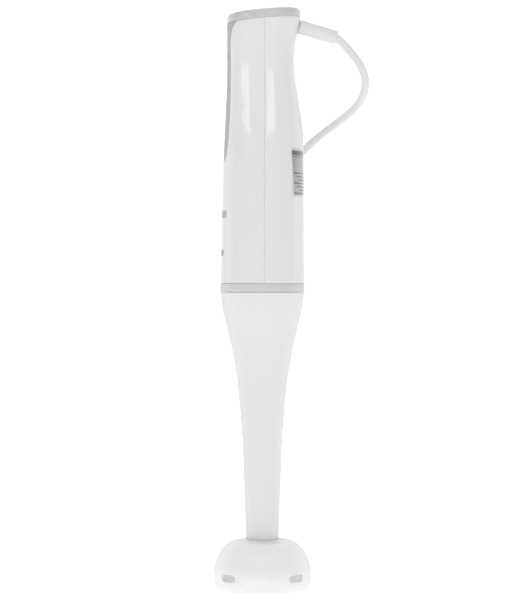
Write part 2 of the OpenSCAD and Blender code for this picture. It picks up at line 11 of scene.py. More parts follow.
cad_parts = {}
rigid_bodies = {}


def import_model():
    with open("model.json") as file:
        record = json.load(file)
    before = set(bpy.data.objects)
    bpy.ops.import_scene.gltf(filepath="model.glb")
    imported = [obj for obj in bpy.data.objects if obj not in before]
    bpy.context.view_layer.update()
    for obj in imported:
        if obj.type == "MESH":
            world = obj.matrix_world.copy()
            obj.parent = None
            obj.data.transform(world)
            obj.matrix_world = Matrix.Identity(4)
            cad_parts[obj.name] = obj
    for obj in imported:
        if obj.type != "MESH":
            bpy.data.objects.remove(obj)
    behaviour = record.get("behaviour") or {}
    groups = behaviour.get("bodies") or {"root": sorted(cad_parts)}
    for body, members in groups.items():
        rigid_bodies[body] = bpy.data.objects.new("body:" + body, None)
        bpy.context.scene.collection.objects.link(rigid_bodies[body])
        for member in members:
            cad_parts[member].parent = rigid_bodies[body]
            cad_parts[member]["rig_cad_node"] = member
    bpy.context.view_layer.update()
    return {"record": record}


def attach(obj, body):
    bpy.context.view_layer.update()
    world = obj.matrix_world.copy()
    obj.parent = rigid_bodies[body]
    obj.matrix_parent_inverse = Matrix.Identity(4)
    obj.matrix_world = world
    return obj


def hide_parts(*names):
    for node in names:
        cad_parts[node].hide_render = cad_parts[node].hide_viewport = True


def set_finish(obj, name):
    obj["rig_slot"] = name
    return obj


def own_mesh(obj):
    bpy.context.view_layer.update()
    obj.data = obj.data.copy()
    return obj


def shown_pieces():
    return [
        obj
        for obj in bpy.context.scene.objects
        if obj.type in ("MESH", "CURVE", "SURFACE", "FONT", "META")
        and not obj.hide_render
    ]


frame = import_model()
MM = 0.001

# ---- Camera, at the photograph's angle: level, from the blender's right side ----

cam_data = bpy.data.cameras.new("camera")
cam_data.sensor_width, cam_data.lens = 36, 108
cam_data.clip_start, cam_data.clip_end = 0.05, 30
camera = bpy.data.objects.new("camera", cam_data)
camera.location = (1.17, 0.0021, 0.1869)
camera.rotation_euler = (math.radians(90), 0, math.radians(90))
bpy.context.scene.collection.objects.link(camera)
bpy.context.scene.camera = camera

# ---- Outlines of the blender, in millimetres. A table is (height, value) stations ----

# Housing: reach of the front and the rear, half-width across the view, squareness of the section
FRONT = [(197.5, 27.1), (225, 26.5), (260, 25.8), (290, 24.6), (315, 23.5), (340, 22.9),
         (368, 22.9)]
REAR = [(197.5, 27.4), (230, 27.2), (272, 27.0), (292, 26.6), (306, 25.5), (320, 23.4),
        (334, 21.2), (347, 20.9), (356, 22.3), (363, 24.3), (368, 25.1)]
SIDE = [(197.5, 27.3), (230, 26.8), (260, 25.2), (285, 22.6), (310, 19.9), (335, 18.3),
        (350, 18.2), (368, 18.9)]
SQUARE = [(197.5, 2.0), (260, 2.05), (330, 2.25), (368, 2.3)]
# Half-width of the control strip above its round foot, and radius of the wand
STRIP = [(283, 9.6), (290, 10.3), (300, 10.4), (312, 10.1), (330, 9.4), (345, 9.0), (355, 9.2),
         (360.5, 10.1), (364, 11.4), (367.6, 13.9)]
WAND = [(32, 10.6), (62, 11.7), (93, 12.8), (117, 14.5), (135, 16.4), (152, 19.2), (168, 22.7),
        (181, 25.7), (191.9, 27.3)]
SEAM_Y = 1.4
TOP_Z, BASE_Z, WALL = 367.8, 197.5, 2.2
CAP_SLOPE, SLOPE_FROM_Z, SLOPE_OVER = 0.0875, 345, 20
STRIP_FOOT, STRIP_FOOT_END, STRIP_TOP = 274.5, 283, 367.6
SPEED_Z, SPEED_H = 357.5, 13
TURBO_Z, TURBO_H = 332, 31
BUTTON_W, BUTTON_GAP, BUTTON_PROUD = 13, 0.35, 0.2


def curve(t, z):
    """Value of table t at height z, on a smooth curve through its stations."""
    i = 0
    while i < len(t) - 2 and z >= t[i + 1][0]:
        i += 1

    def slope(k):
        a, b = max(k - 1, 0), min(k + 1, len(t) - 1)
        return (t[b][1] - t[a][1]) / (t[b][0] - t[a][0])

    h = t[i + 1][0] - t[i][0]
    s = min(max((z - t[i][0]) / h, 0), 1)
    return ((2 * s**3 - 3 * s * s + 1) * t[i][1] + (s**3 - 2 * s * s + s) * h * slope(i)
            + (3 * s * s - 2 * s**3) * t[i + 1][1] + (s**3 - s * s) * h * slope(i + 1))


def tilt(z):
    """Slope of the section at height z: level below, and parallel to the cap at the top."""
    return CAP_SLOPE * min(max((z - SLOPE_FROM_Z) / SLOPE_OVER, 0), 1)


def half_sizes(z, rear, inset=0):
    """Half-width, depth from the parting plane and squareness of the section at height z."""
    d = curve(REAR, z) - SEAM_Y if rear else curve(FRONT, z) + SEAM_Y
    return curve(SIDE, z) - inset, d - inset, curve(SQUARE, z)


def on_section(z, angle, rear, inset=0):
    """Point of the section at an angle from the parting plane, 0 at +X and pi at -X."""
    w, d, n = half_sizes(z, rear, inset)
    c, s = math.cos(angle), math.sin(angle)
    x = w * math.copysign(abs(c) ** (2 / n), c)
    y = SEAM_Y + (1 if rear else -1) * d * abs(s) ** (2 / n)
    return (x, y, z + tilt(z) * y)


def angle_at_x(z, x, rear):
    """Angle of the section's point at a distance x from the middle."""
    w, _, n = half_sizes(z, rear)
    c = min(abs(x) / w, 1) ** (n / 2)
    return math.acos(c)


def angle_at_dy(z, dy, rear):
    """Angle of the section's point at a distance dy from the parting plane."""
    _, d, n = half_sizes(z, rear)
    return math.asin(min(dy / d, 1) ** (n / 2))


# ---- Mesh helpers ----

WELD = 0.004


def around(n):
    """n angles evenly round a circle."""
    return [2 * math.pi * k / n for k in range(n)]


def new_mesh(name, points, faces, sharp=35):
    """Object from points in millimetres. Edges over sharp degrees stay sharp."""
    mesh = bpy.data.meshes.new(name)
    mesh.from_pydata([(x * MM, y * MM, z * MM) for x, y, z in points], [], faces)
    bm = bmesh.new()
    bm.from_mesh(mesh)
    bmesh.ops.remove_doubles(bm, verts=bm.verts, dist=WELD * MM)
    bmesh.ops.recalc_face_normals(bm, faces=bm.faces)
    bm.to_mesh(mesh)
    bm.free()
    return link_mesh(name, mesh, sharp)


def link_mesh(name, mesh, sharp):
    mesh.shade_smooth()
    mesh.set_sharp_from_angle(angle=math.radians(sharp))
    obj = bpy.data.objects.new(name, mesh)
    bpy.context.scene.collection.objects.link(obj)
    return obj


def loops_to_faces(rows, cols, caps=None):
    """Quads over closed rows of points. caps says how the two ends close: fan, across or None."""
    faces = []
    for i in range(rows - 1):
        for j in range(cols):
            a, b = i * cols + j, i * cols + (j + 1) % cols
            faces.append((a, b, b + cols, a + cols))
    last = (rows - 1) * cols
    if caps == "fan":
        faces += [tuple(range(cols)), tuple(range(last, last + cols))]
    if caps == "across":
        for k in range(cols // 2 - 1):
            faces.append((k, k + 1, cols - 2 - k, cols - 1 - k))
            faces.append((last + k, last + k + 1, last + cols - 2 - k, last + cols - 1 - k))
    return faces


def rows_to_mesh(name, rows, caps, sharp):
    """Object skinned over rows of equally many points."""
    points = [p for row in rows for p in row]
    return new_mesh(name, points, loops_to_faces(len(rows), len(rows[0]), caps), sharp)


def round_steps(r, n):
    """Steps round an edge of radius r: (distance from the edge, inset)."""
    angles = [math.pi / 2 * (1 - k / n) for k in range(n + 1)]
    return [(r - r * math.sin(a), r - r * math.cos(a)) for a in angles]


def turned(name, profile, steps=160):
    """Ring turned about the Z axis from a closed loop of (radius, height) points."""
    rows = [[(r * math.cos(a), r * math.sin(a), z) for a in around(steps)]
            for r, z in profile + profile[:1]]
    return rows_to_mesh(name, rows, None, 40)


def rounded(corners, n):
    """Polygon of (x, y, radius) corners with each corner rounded in n steps."""
    out, m = [], len(corners)
    for k, (x, y, r) in enumerate(corners):
        if r <= 0:
            out.append((x, y))
            continue
        p = Vector((x, y))
        before = Vector(corners[k - 1][:2]) - p
        after = Vector(corners[(k + 1) % m][:2]) - p
        a, b = before.normalized(), after.normalized()
        half = a.angle(b) / 2
        # A corner takes less than half of each side next to it
        t = min(r / math.tan(half), 0.49 * before.length, 0.49 * after.length)
        c = p + (a + b).normalized() * (t * math.tan(half) / math.sin(half))
        s, e = p + a * t - c, p + b * t - c
        turn = s.angle(e)
        sign = 1 if s.x * e.y - s.y * e.x > 0 else -1
        for i in range(n + 1):
            q = sign * turn * i / n
            out.append((c.x + s.x * math.cos(q) - s.y * math.sin(q),
                        c.y + s.x * math.sin(q) + s.y * math.cos(q)))
    return out


def place(obj, body, slot_name, *nodes):
    """Puts a piece on a body, in a material slot, instead of the CAD nodes named."""
    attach(obj, body)
    if nodes:
        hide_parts(*nodes)
    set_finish(obj, slot_name)
    return obj


def rows_between(lo, hi, step, extra=()):
    """Heights from lo to hi about a step apart, and the extra ones among them."""
    n = max(1, round((hi - lo) / step))
    heights = [lo + (hi - lo) * k / n for k in range(n + 1)]
    return sorted(set(heights + [z for z in extra if lo < z < hi]))


# ---- Mains cord: round behind the housing, down to the floor, coiled, to its plug ----

CORD_D = 5.2
# Points of the cord's middle from the strain relief to the coil, and from the coil to the plug
ROUTE = [(0, 46.8, 358.3), (0, 48.9, 356.8), (0, 51.9, 354.2), (0, 55.1, 350.8),
         (0, 58.4, 346.9), (0, 61.5, 342.9), (-0.3, 64.2, 338.8), (-1.5, 66.3, 334),
         (-4, 67.4, 328.7), (-8, 66.8, 323), (-13, 64.4, 317.6), (-18.7, 60.2, 312.6),
         (-24.2, 54.4, 308), (-29, 47.2, 303), (-32.8, 39, 297), (-35.2, 30.4, 289.6),
         (-36.2, 22, 280.6), (-35.9, 14.6, 270), (-34.6, 8.8, 258), (-32.9, 5, 244),
         (-31.4, 2.8, 228), (-30.6, 1.4, 211), (-30.5, 0.4, 194), (-30.8, -0.6, 170),
         (-31.4, -1.6, 140), (-32.2, -2.8, 110), (-33.3, -4.4, 80), (-34.6, -6.3, 52),
         (-35.3, -7.6, 37), (-35.7, -8, 27), (-35.7, -6.8, 18.4), (-35.6, -2.6, 10.8),
         (-35.8, 4, 5.6), (-36.8, 10.8, 3.1), (-38.8, 16, 2.6), (-41.8, 20.4, 2.6),
         (-45.6, 24, 2.6), (-49.8, 26.6, 2.6), (-54.2, 28.3, 2.6)]
TAIL = [(-94.3, 14.3, 7.8), (-96.5, 10.5, 7.8), (-99.8, 6.1, 7.7), (-104.2, 2.8, 7.6),
        (-109.3, 0.7, 7.5), (-114.7, 0, 7.5)]
# The coil's middle, the radius the cord comes in at, how far it then draws in, and the angles
# between which it runs
COIL_X, COIL_R, COIL_DRAW = -69.5, 34.6, 6
COIL_FROM, COIL_TO, COIL_STEP = 78, 1215, 16


def ease(x, a, b):
    """0 before a, 1 after b, and a smooth rise between."""
    t = min(max((x - a) / (b - a), 0), 1)
    return (1 - math.cos(math.pi * t)) / 2


def coil_point(a):
    """Point of the coil at an angle: a turn outside, one inside, up a layer, and out again."""
    r = (COIL_R - COIL_DRAW * ease(a, 27, 100)
         - CORD_D * ease(a, 305, 395) + CORD_D * ease(a, 865, 955))
    z = CORD_D / 2 + CORD_D * ease(a, 560, 650)
    return (COIL_X + r * math.cos(math.radians(a)), r * math.sin(math.radians(a)), z)


def smooth_path(knots, step=1.6, passes=6):
    """Points evenly spaced on a Catmull-Rom curve through the knots, then eased."""
    p = np.array(knots, float)
    p = np.vstack([2 * p[0] - p[1], p, 2 * p[-1] - p[-2]])
    out = []
    for i in range(1, len(p) - 2):
        for t in np.linspace(0, 1, 12, endpoint=False):
            a, b, c, d = p[i - 1], p[i], p[i + 1], p[i + 2]
            out.append(0.5 * (2 * b + (c - a) * t + (2 * a - 5 * b + 4 * c - d) * t * t
                              + (3 * b - a - 3 * c + d) * t**3))
    out = np.array(out + [p[-2]])
    run = np.concatenate([[0], np.cumsum(np.linalg.norm(np.diff(out, axis=0), axis=1))])
    even = np.linspace(0, run[-1], int(run[-1] / step) + 1)
    out = np.stack([np.interp(even, run, out[:, k]) for k in range(3)], axis=1)
    for _ in range(passes):
        out[1:-1] = 0.25 * out[:-2] + 0.5 * out[1:-1] + 0.25 * out[2:]
    return out


def sweep(name, path, radius, sides=20):
    """Tube along a path, closed at both ends."""
    path = np.array(path, float)
    runs = np.gradient(path, axis=0)
    runs /= np.linalg.norm(runs, axis=1)[:, None]
    side = np.cross(runs[0], (0, 0, 1) if abs(runs[0][2]) < 0.9 else (1, 0, 0))
    rows = []
    for p, run in zip(path, runs):
        side = side - (side @ run) * run
        side /= np.linalg.norm(side)
        up = np.cross(run, side)
        rows.append([tuple(p + radius * (math.cos(a) * side + math.sin(a) * up))
                     for a in around(sides)])
    return rows_to_mesh(name, rows, "fan", 60)


coil_points = [coil_point(a) for a in np.arange(COIL_FROM, COIL_TO, COIL_STEP)]
cord_path = smooth_path(ROUTE + coil_points + TAIL)
cord = sweep("mains_cord", cord_path, CORD_D / 2)
place(cord, "motor_unit", "cord", "cord_tube", "cord_coil", "cord_tail")

# ---- Plug ----

# Where the plug's neck begins, how long its body is, the height of its middle above the floor
PLUG_X, PLUG_L, PLUG_Z = -115.5, 25, 7.5
PLUG_FACE_X = PLUG_X - PLUG_L
NECK_SINK = 0.4
# From the plug's face to its neck: distance, width, height, corner radius
PLUG_SECTIONS = [(0, 19.4, 13.4, 3.4), (0.3, 20.3, 14.3, 3.8), (1.0, 20.9, 14.9, 4),
                 (6, 21, 15, 4), (9, 20.6, 14.6, 4.2), (9.6, 20.0, 14.0, 4.2),
                 (10.4, 19.9, 13.9, 4.2), (11, 20.4, 14.4, 4.2), (14, 19.8, 13.9, 4.8),
                 (17, 18.2, 13.0, 5.2), (20, 15.8, 12.0, 5.4), (22.5, 13.4, 11.2, 5.3),
                 (24.2, 11.6, 10.4, 5.0), (25, 9.6, 9.2, 4.5)]
# The ribbed neck: distance and radius
NECK_STEPS = [(0, 4.4), (0.5, 4.4), (0.8, 4.0), (1.2, 4.0), (1.5, 4.3), (2.0, 4.3), (2.3, 3.9),
              (2.7, 3.9), (3.0, 4.2), (3.5, 4.2), (3.9, 3.8), (4, 2.0)]


def box_outline(w, h, r, n=6):
    """Rectangle w by h with corners of radius r."""
    out = []
    for q in range(4):
        for k in range(n + 1):
            a = math.radians(90 * q + 90 * k / n)
            out.append(((1 if q in (0, 3) else -1) * (w / 2 - r) + r * math.cos(a),
                        (1 if q < 2 else -1) * (h / 2 - r) + r * math.sin(a)))
    return out


plug = rows_to_mesh("plug", [[(PLUG_FACE_X + d, y, PLUG_Z + z) for y, z in box_outline(w, h, r)]
                             for d, w, h, r in PLUG_SECTIONS], "fan", 45)
neck = rows_to_mesh("plug_neck", [[(PLUG_X - NECK_SINK + d, r * math.cos(a),
                                    PLUG_Z + r * math.sin(a)) for a in around(32)]
                                  for d, r in NECK_STEPS], "fan", 30)
place(plug, "motor_unit", "cord", "plug_body")
place(neck, "motor_unit", "cord")

# The plug's blades: half-width, half-thickness, chamfer, and the hole near the tip
BLADE_HALF_W, BLADE_HALF_T, BLADE_CHAMFER, BLADE_Y = 3.2, 0.75, 0.25, 6.35
BLADE_HOLE_AT, BLADE_HOLE_R, BLADE_HOLE_SIDES, BLADE_TIP_FROM = 11.8, 1.6, 24, 14
BLADE_OUTLINE = [(0, -3.2, 0), (15.2, -3.2, 1.2), (16, -2.4, 1.0), (16, 2.4, 1.0),
                 (15.2, 3.2, 1.2), (0, 3.2, 0)]


def plug_blade(y):
    """Mesh of one blade, chamfered along its edges and pierced near its tip."""
    outline = rounded(BLADE_OUTLINE, 4)
    hole = [(BLADE_HOLE_AT + BLADE_HOLE_R * math.cos(a), BLADE_HOLE_R * math.sin(a))
            for a in around(BLADE_HOLE_SIDES)]
    bm = bmesh.new()

    def vertex(u, t, v):
        return bm.verts.new(((PLUG_FACE_X - u) * MM, (y + t) * MM, (PLUG_Z + v) * MM))

    def skin(a, b):
        for i in range(len(a)):
            bm.faces.new((a[i], a[(i + 1) % len(a)], b[(i + 1) % len(a)], b[i]))

    flat = BLADE_HALF_T - BLADE_CHAMFER
    rings = []
    for t, inset in ((-BLADE_HALF_T, BLADE_CHAMFER), (-flat, 0), (flat, 0),
                     (BLADE_HALF_T, BLADE_CHAMFER)):
        k = 1 - inset / BLADE_HALF_W
        rings.append([vertex(u - (inset if u > BLADE_TIP_FROM else 0), t, v * k)
                      for u, v in outline])
    for a, b in zip(rings[:-1], rings[1:]):
        skin(a, b)
    rims = []
    for ring, t in ((rings[0], -BLADE_HALF_T), (rings[-1], BLADE_HALF_T)):
        rim = [vertex(u, t, v) for u, v in hole]
        edges = [bm.edges.get((ring[i], ring[(i + 1) % len(ring)])) for i in range(len(ring))]
        edges += [bm.edges.new((rim[i], rim[(i + 1) % len(rim)])) for i in range(len(rim))]
        bmesh.ops.triangle_fill(bm, use_beauty=True, edges=edges)
        rims.append(rim)
    skin(rims[0], rims[1])
    bmesh.ops.recalc_face_normals(bm, faces=bm.faces)
    mesh = bpy.data.meshes.new("plug_blade")
    bm.to_mesh(mesh)
    bm.free()
    return mesh


for i, y in enumerate((-BLADE_Y, BLADE_Y)):
    blade = link_mesh(f"plug_blade_{i + 1}", plug_blade(y), 30)
    place(blade, "motor_unit", "brass", *(["plug_blades"] if i == 0 else []))

# ---- Strain relief ----

RELIEF_END, RELIEF_TILT = (0, 48.6, 357.2), 16.5
# Radius, height and rounding along the sleeve, whose open end is at height 0
RELIEF_OUTLINE = [(0.01, -33, 0), (3.6, -33, 0), (3.6, -25.8, 0), (4.75, -25.3, 0.5),
                  (4.66, -18, 0), (4.5, -6, 30), (4.56, -1.6, 2), (4.1, -0.25, 0.9),
                  (3.0, 0, 0.4), (2.62, 0, 0), (2.62, -3, 0), (0.01, -3, 0)]
relief_frame = (Matrix.Translation(RELIEF_END)
                @ Matrix.Rotation(-math.radians(90) - math.radians(RELIEF_TILT), 4, "X"))
relief = rows_to_mesh("strain_relief_sleeve",
                      [[tuple(relief_frame @ Vector((r * math.cos(a), r * math.sin(a), h)))
                        for a in around(64)] for r, h in rounded(RELIEF_OUTLINE, 5)], "fan", 40)
place(relief, "motor_unit", "cord", "strain_relief")

# ---- Housing shells, with a fine parting groove and a cut-out for the control strip ----

# At the parting line each shell stops SEAM_GAP short, behind an edge of radius SEAM_ROUND. Rows
# of points run evenly from SEAM_FLAT onwards
SEAM_GAP, SEAM_ROUND, SEAM_FLAT = 0.012, 0.24, 0.75
SHELL_TOP, SHELL_END_ROUND, SHELL_STEP = TOP_Z - 0.05, 0.35, 2.4
STRIP_GAP = 0.12
# Rows get closer together towards the foot of the strip, where its outline is round
FOOT_ROWS = [STRIP_FOOT + (STRIP_FOOT_END - STRIP_FOOT) * (k / 14) ** 2 for k in range(15)]


def end_rows(lo, hi, r, step, extra=()):
    """Rows along an outline with rounded ends: (height, inset)."""
    steps = round_steps(r, 3)
    rows = [(lo + d, i) for d, i in steps[:-1]]
    rows += [(z, 0) for z in rows_between(lo + r, hi - r, step, extra)]
    return rows + [(hi - d, i) for d, i in reversed(steps[:-1])]


def strip_half(z):
    """Half-width of the control strip at height z."""
    if z < STRIP_FOOT_END:
        s = min(max((STRIP_FOOT_END - z) / (STRIP_FOOT_END - STRIP_FOOT), 0), 1)
        return curve(STRIP, STRIP_FOOT_END) * math.sqrt(1 - s * s)
    return curve(STRIP, min(z, STRIP_TOP))


def arc_points(z, a0, a1, rear, inset, n):
    """n + 1 points of the section between two angles."""
    return [on_section(z, a0 + (a1 - a0) * k / n, rear, inset) for k in range(n + 1)]


def seam_edge(z, rear, end):
    """Rounded edge of a shell at the parting line, on the +X side."""
    return [on_section(z, angle_at_dy(z, d + SEAM_GAP, rear), rear, max(i, end))
            for d, i in round_steps(SEAM_ROUND, 3)]


def mirrored(name, rings, sharp):
    """Object from rings of points of its +X half, and their mirror image in the plane X = 0."""
    points, faces = [], []
    for side in (1, -1):
        start = len(points)
        points += [(side * x, y, z) for ring in rings for x, y, z in ring]
        faces += [tuple(start + i for i in f)
                  for f in loops_to_faces(len(rings), len(rings[0]), "across")]
    faces = [f for f in faces if not all(abs(points[i][0]) < 0.001 for i in f)]
    return new_mesh(name, points, faces, sharp)


def shell_rear():
    rings = []
    for z, end in end_rows(BASE_Z, SHELL_TOP, SHELL_END_ROUND, SHELL_STEP):
        edge = seam_edge(z, True, end)
        a0 = angle_at_dy(z, SEAM_FLAT, True)
        ring = edge + arc_points(z, a0, math.pi - a0, True, end, 72)
        ring += [(-x, y, zz) for x, y, zz in reversed(edge)]
        a1 = angle_at_dy(z, SEAM_GAP, True)
        inner = [on_section(z, a1, True, WALL)]
        inner += arc_points(z, a0, math.pi - a0, True, WALL, len(ring) - 3)
        inner.append(on_section(z, math.pi - a1, True, WALL))
        rings.append(ring + inner[::-1])
    return rows_to_mesh("rear_shell", rings, "across", 50)


def shell_front():
    rings = []
    for z, end in end_rows(BASE_Z, SHELL_TOP, SHELL_END_ROUND, SHELL_STEP,
                           [STRIP_FOOT - 0.1] + FOOT_ROWS):
        x0 = strip_half(z) + STRIP_GAP if z > STRIP_FOOT else 0
        # The edge round the strip fades out towards its foot
        soft = min(max((z - STRIP_FOOT - 0.2) / 1.5, 0), 1)
        ring = seam_edge(z, False, end)
        ring += arc_points(z, angle_at_dy(z, SEAM_FLAT, False),
                           angle_at_x(z, x0 + 0.3 * soft, False), False, end, 34)[:-1]
        ring += [on_section(z, angle_at_x(z, x0 + d * soft, False), False, max(i * soft, end))
                 for d, i in reversed(round_steps(SEAM_ROUND, 3))]
        inner = arc_points(z, angle_at_dy(z, SEAM_GAP, False), angle_at_x(z, x0, False), False,
                           WALL, len(ring) - 1)
        rings.append(ring + inner[::-1])
    return mirrored("front_shell", rings, 50)


place(shell_rear(), "motor_unit", "white_shell", "rear_housing")
place(shell_front(), "motor_unit", "white_shell", "front_housing")

# ---- Cap: hollow below, rounded above, with a slightly crowned top ----

CAP_H, CAP_ROOF_Z, CAP_ROUND, CAP_CROWN = 6.0, 4.0, 1.9, 0.3


def section_ring(inset, dz):
    """The housing's outline at its top, drawn in by inset and raised by dz."""
    out = []
    for a in around(144):
        rear = a < math.pi
        x, y, z = on_section(TOP_Z, a if rear else 2 * math.pi - a, rear, inset)
        out.append((x, y, z + dz))
    return out


cap_rows = [section_ring(15, CAP_ROOF_Z), section_ring(2.6, CAP_ROOF_Z), section_ring(2.2, 0.0)]
cap_rows += [section_ring(i, d) for d, i in round_steps(0.35, 3)]
cap_rows += [section_ring(i, CAP_H - d) for d, i in reversed(round_steps(CAP_ROUND, 8))]
cap_rows += [section_ring(i, CAP_H + CAP_CROWN * ease(i, CAP_ROUND, 12))
             for i in (2.6, 4, 6, 8, 10, 12, 15)]
place(rows_to_mesh("cap", cap_rows, "fan", 50), "motor_unit", "grey_trim", "top_cap")

# ---- Control strip and buttons ----


STRIP_WALL, STRIP_ROUND, STRIP_TOP_ROUND = 1.8, 0.35, 0.3
HOLE_R = BUTTON_W / 2 + BUTTON_GAP


def hole_half(z):
    """Half-width at height z of the buttons' holes, upright slots with round ends."""
    widest = 0
    for centre, h in ((SPEED_Z, SPEED_H), (TURBO_Z, TURBO_H)):
        past = abs(z - centre) - (h - BUTTON_W) / 2
        if past <= 0:
            widest = HOLE_R
        elif past < HOLE_R:
            widest = max(widest, math.sqrt(HOLE_R * HOLE_R - past * past))
    return widest


def strip_rows():
    """Rows of the strip, close together at its foot and at the round ends of the holes."""
    extra = list(FOOT_ROWS)
    for centre, h in ((SPEED_Z, SPEED_H), (TURBO_Z, TURBO_H)):
        for k in range(21):
            dz = (h - BUTTON_W) / 2 + HOLE_R * math.sin(math.pi / 2 * k / 20)
            extra += [centre - dz, centre + dz]
    rows = [(z, 0) for z in rows_between(STRIP_FOOT, STRIP_TOP, 1.6, extra)
            if z < STRIP_TOP - STRIP_TOP_ROUND - 0.01]
    rows += [(STRIP_TOP - d, i) for d, i in reversed(round_steps(STRIP_TOP_ROUND, 3))]
    return [r for k, r in enumerate(rows)
            if k == 0 or r[0] > rows[k - 1][0] + 1e-4 or r[1] > rows[k - 1][1]]


def control_strip():
    edge, rings = round_steps(STRIP_ROUND, 3), []
    for z, end in strip_rows():
        outer = max(strip_half(z), 0.02)
        hole = min(hole_half(z), outer - 0.01)
        # The rounding shrinks where the strip or a hole narrows to its end
        o, h = min(1, outer / 2.0), min(1, hole / 1.5)
        ring = [on_section(z, angle_at_x(z, outer - d * o, False), False, max(i * o, end))
                for d, i in edge]
        ring += arc_points(z, angle_at_x(z, outer - STRIP_ROUND * o, False),
                           angle_at_x(z, hole + STRIP_ROUND * h, False), False, end, 16)[1:-1]
        ring += [on_section(z, angle_at_x(z, hole + d * h, False), False, max(i * h, end))
                 for d, i in reversed(edge)]
        inner = arc_points(z, angle_at_x(z, outer, False), angle_at_x(z, hole, False), False,
                           STRIP_WALL, len(ring) - 1)
        rings.append(ring + inner[::-1])
    return mirrored("control_strip_panel", rings, 50)


place(control_strip(), "motor_unit", "grey_panel", "control_strip")

# The flange behind the strip keeps a button in: its back, its front and how far it stands out
FLANGE_BACK_Y, FLANGE_FRONT_Y, FLANGE_GROW = -17.2, -18.4, 1.2
BUTTON_ROUND, BUTTON_SIDE = 0.8, 1.6


def front_y(x, z):
    """Y of the housing's front surface."""
    w, d, n = half_sizes(z, False)
    return SEAM_Y - (d * (1 - min(abs(x) / w, 0.999) ** n) ** (1 / n))


def button(name, centre, h, dish_depth):
    """Cap that follows the strip's curve, with a soft edge, a finger dish and a flange."""

    def outline(inset):
        r, straight = BUTTON_W / 2 - inset, (h - BUTTON_W) / 2
        out = []
        for cz, a0 in ((straight, 0), (-straight, math.pi)):
            for k in range(41):
                a = a0 + math.pi * k / 40
                out.append((r * math.cos(a), centre + cz + r * math.sin(a)))
        return out

    face_y = front_y(0, centre) - BUTTON_PROUD

    def face(x, z):
        """Y of the face: the strip's own curve, moved out, and dished in the middle."""
        u, v = x / (BUTTON_W / 2), (z - centre) / (h / 2)
        dish = dish_depth * math.exp(-2.6 * (u * u + v**4))
        return max(front_y(x, z) - BUTTON_PROUD, face_y) + dish

    rows = [[(x, y, z) for x, z in outline(inset)]
            for y, inset in ((FLANGE_BACK_Y, 2), (FLANGE_BACK_Y, -FLANGE_GROW),
                             (FLANGE_FRONT_Y, -FLANGE_GROW), (FLANGE_FRONT_Y, 0))]
    face_rows = [(0, BUTTON_SIDE)] + round_steps(BUTTON_ROUND, 6)
    face_rows += [(d, 0) for d in (1.3, 1.9, 2.5, 3.1, 3.7, 4.3, 4.9, 5.5, 6.1, 6.45)]
    rows += [[(x, face(x, z) + i, z) for x, z in outline(d)] for d, i in face_rows]
    return rows_to_mesh(name, rows, "fan", 60)


place(button("speed_button_cap", SPEED_Z, SPEED_H, 0.25),
      "speed_button", "grey_panel", "speed_button")
place(button("turbo_button_cap", TURBO_Z, TURBO_H, 0.45),
      "turbo_button", "grey_panel", "turbo_button")

# ---- Return springs, squashed between their button's flange and the switch board ----

BOARD_Y, TRAVEL = -8.0, 2.0
SPRING_R, SPRING_WIRE, SPRING_TURNS, SPRING_CLEAR = 1.6, 0.5, 4, 0.05
for button_name, spring_z in (("speed", SPEED_Z - 4), ("turbo", TURBO_Z - 8)):
    y0 = FLANGE_BACK_Y + SPRING_WIRE / 2 + SPRING_CLEAR
    y1 = BOARD_Y - SPRING_WIRE / 2 - SPRING_CLEAR
    wound = 2 * math.pi * SPRING_TURNS
    wire = [(SPRING_R * math.cos(a), y0 + (y1 - y0) * a / wound,
             spring_z + SPRING_R * math.sin(a))
            for a in np.linspace(0, wound, 32 * SPRING_TURNS + 1)]
    spring = sweep(button_name + "_return_spring", wire, SPRING_WIRE / 2, 12)
    place(spring, "motor_unit", "steel", button_name + "_spring")
    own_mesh(spring)

# ---- Printed label and marks, as thin films that follow the housing ----


FILM_BACK, FILM_COLS, FILM_STEP = 0.01, 40, 1.0


def film(name, rear, z0, z1, half, above, corner, narrowing=0.0):
    """Film from z0 to z1 with round corners, above the housing, narrowing towards its top."""
    corner_rows = [corner * (k / 6) for k in range(7)]
    rows = []
    for z in rows_between(z0, z1, FILM_STEP,
                          [z0 + c for c in corner_rows] + [z1 - c for c in corner_rows]):
        e = max(corner - (z - z0), corner - (z1 - z), 0)
        x1 = (half - narrowing * (z - z0) / (z1 - z0) - corner
              + math.sqrt(max(corner * corner - e * e, 0)))
        top, low = [], []
        for k in range(FILM_COLS + 1):
            x = x1 * (2 * k / FILM_COLS - 1)
            a = angle_at_x(z, x, rear)
            a = a if x >= 0 else math.pi - a
            top.append(on_section(z, a, rear, -above))
            low.append(on_section(z, a, rear, -FILM_BACK))
        rows.append(top + low[::-1])
    return rows_to_mesh(name, rows, "across", 40)


label_film = film("label_film", True, 253, 284.5, 18.6, 0.16, 1.0, narrowing=1.6)
mark_upper = film("mark_upper", False, 240.1, 244.5, 12.4, 0.1, 0.8)
mark_lower = film("mark_lower", False, 215.5, 219.5, 9.4, 0.1, 0.6)
place(label_film, "motor_unit", "label", "rating_label")
place(mark_upper, "motor_unit", "print", "front_marks")
place(mark_lower, "motor_unit", "print")

# ---- Coupling ring, wand and blade guard: loops of radius, height and at times a rounding ----

RING_OUTLINE = [(21.4, 192.05, 0.2), (27.5, 192.05, 0.5), (27.5, 197.46, 0.5),
                (24.6, 197.46, 0.1), (24.6, 209, 0.2), (9.5, 209, 0.2), (9.5, 207, 0.2),
                (21.4, 207, 0.1)]
place(turned("coupling_collar", rounded(RING_OUTLINE, 5)),
      "motor_unit", "grey_trim", "coupling_ring")

